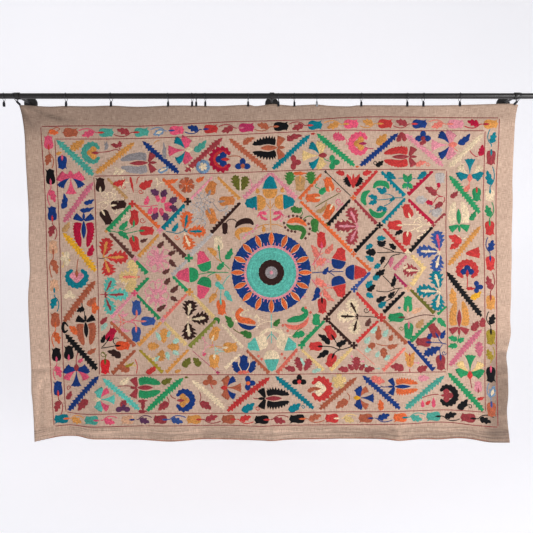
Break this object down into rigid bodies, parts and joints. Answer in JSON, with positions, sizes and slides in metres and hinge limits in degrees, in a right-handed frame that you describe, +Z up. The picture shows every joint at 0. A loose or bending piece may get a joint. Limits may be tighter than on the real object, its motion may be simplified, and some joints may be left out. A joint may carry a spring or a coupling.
{
  "type": "suzani embroidered textile with curtain rod and ring clips",
  "caption": "Embroidered linen wall hanging with motif borders and a round central medallion, hanging by ring clips from a black rod on wall brackets.",
  "frame": {"origin": "centre of the centre bracket's wall plate, on its back face, level with the rod's axis", "axes": "+X along the rod to the viewer's right, +Y into the wall, +Z up"},
  "size_m": [2.5486, 0.1395, 1.592],
  "materials": {
    "linen": "coarse slubbed plain weave with raised multicoloured silk and cotton embroidery",
    "rod_metal": "satin black paint",
    "dark_steel": "dark plated wire",
    "clip_metal": "dark plated spring clip",
    "bright_steel": "bright plated spring clip"
  },
  "bodies": {
    "root": {"cloth": "linen", "rod": "rod_metal", "end_cap_left": "rod_metal", "end_cap_right": "rod_metal", "bracket_left": "rod_metal", "set_screw_left": "dark_steel", "bracket_centre": "rod_metal", "set_screw_centre": "dark_steel", "bracket_right": "rod_metal", "set_screw_right": "dark_steel", "ring_spare": "dark_steel", "clip_spare": "clip_metal", "ring_01": "dark_steel", "clip_01": "clip_metal", "ring_02": "dark_steel", "clip_02": "clip_metal", "ring_03": "dark_steel", "clip_03": "clip_metal", "ring_04": "dark_steel", "clip_04": "clip_metal", "ring_05": "dark_steel", "clip_05": "clip_metal", "ring_06": "dark_steel", "clip_06": "clip_metal", "ring_07": "dark_steel", "clip_07": "clip_metal", "ring_08": "dark_steel", "clip_08": "clip_metal", "ring_09": "dark_steel", "clip_09": "clip_metal", "ring_10": "dark_steel", "clip_10": "clip_metal", "ring_11": "dark_steel", "clip_11": "bright_steel", "ring_12": "dark_steel", "clip_12": "clip_metal", "ring_13": "dark_steel", "clip_13": "clip_metal", "ring_14": "dark_steel", "clip_14": "clip_metal", "ring_15": "dark_steel", "clip_15": "clip_metal", "ring_16": "dark_steel", "clip_16": "clip_metal"}
  },
  "joints": []
}
